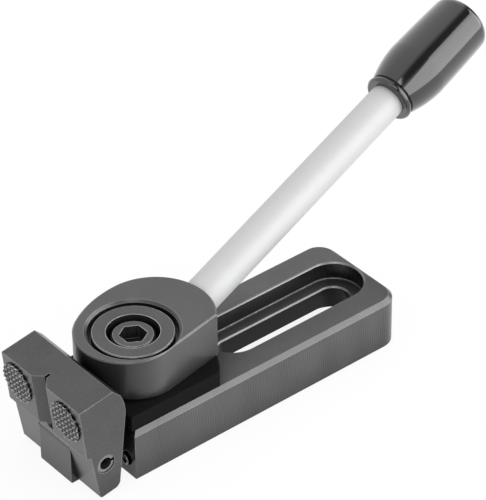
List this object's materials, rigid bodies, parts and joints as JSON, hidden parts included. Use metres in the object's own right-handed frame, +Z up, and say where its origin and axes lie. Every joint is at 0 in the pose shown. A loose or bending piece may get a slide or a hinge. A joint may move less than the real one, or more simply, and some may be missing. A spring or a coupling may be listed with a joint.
{
  "type": "low profile edge clamp",
  "caption": "Low profile edge clamp: a slotted base with a cam lever that leans a hinged, serrated jaw against the edge of the work.",
  "frame": {"origin": "where the lever's pivot axis meets the base's underside", "axes": "+Z up along the pivot axis; +X from the jaw back along the bolt slot; +Y towards the side that the lever leans to"},
  "size_m": [0.2584, 0.0761, 0.0998],
  "materials": {
    "base_steel": "milled, dark grey phosphate",
    "jaw_steel": "fine grained, dark grey phosphate",
    "hub_steel": "turned and milled, dark grey phosphate",
    "plate_black": "smooth black",
    "screw_steel": "dark oxide",
    "insert_steel": "hardened, ground teeth",
    "pin_steel": "bright spring steel",
    "spring_steel": "bright drawn wire",
    "bush_steel": "turned",
    "rod_steel": "satin, bright",
    "grip_black": "polished black",
    "nut_brass": "plain"
  },
  "bodies": {
    "base": {"base_body": "base_steel", "slide_plate": "plate_black", "plate_screw_left": "screw_steel", "plate_screw_right": "screw_steel", "return_spring_left": "spring_steel", "return_spring_right": "spring_steel", "pivot_bush": "bush_steel", "pivot_screw": "screw_steel"},
    "jaw": {"clamping_jaw": "jaw_steel", "grip_insert_left": "insert_steel", "grip_insert_right": "insert_steel", "hinge_pin": "pin_steel"},
    "lever": {"lever_hub": "hub_steel", "lever_rod": "rod_steel", "handle_grip": "grip_black", "grip_nut": "nut_brass"}
  },
  "joints": [
    {"name": "lever_pivot", "type": "hinge", "parent": "base", "child": "lever", "pos_m": [0, 0, 0.0301], "axis": [0, 0, 1], "range_deg": [-100, 15]},
    {"name": "jaw_hinge", "type": "hinge", "parent": "base", "child": "jaw", "pos_m": [-0.03375, 0, 0.01605], "axis": [0, 1, 0], "range_deg": [-1.7, 10.7]}
  ],
  "couplings": [
    {"joint": "jaw_hinge", "follows": "lever_pivot", "ratio": -0.105}
  ]
}
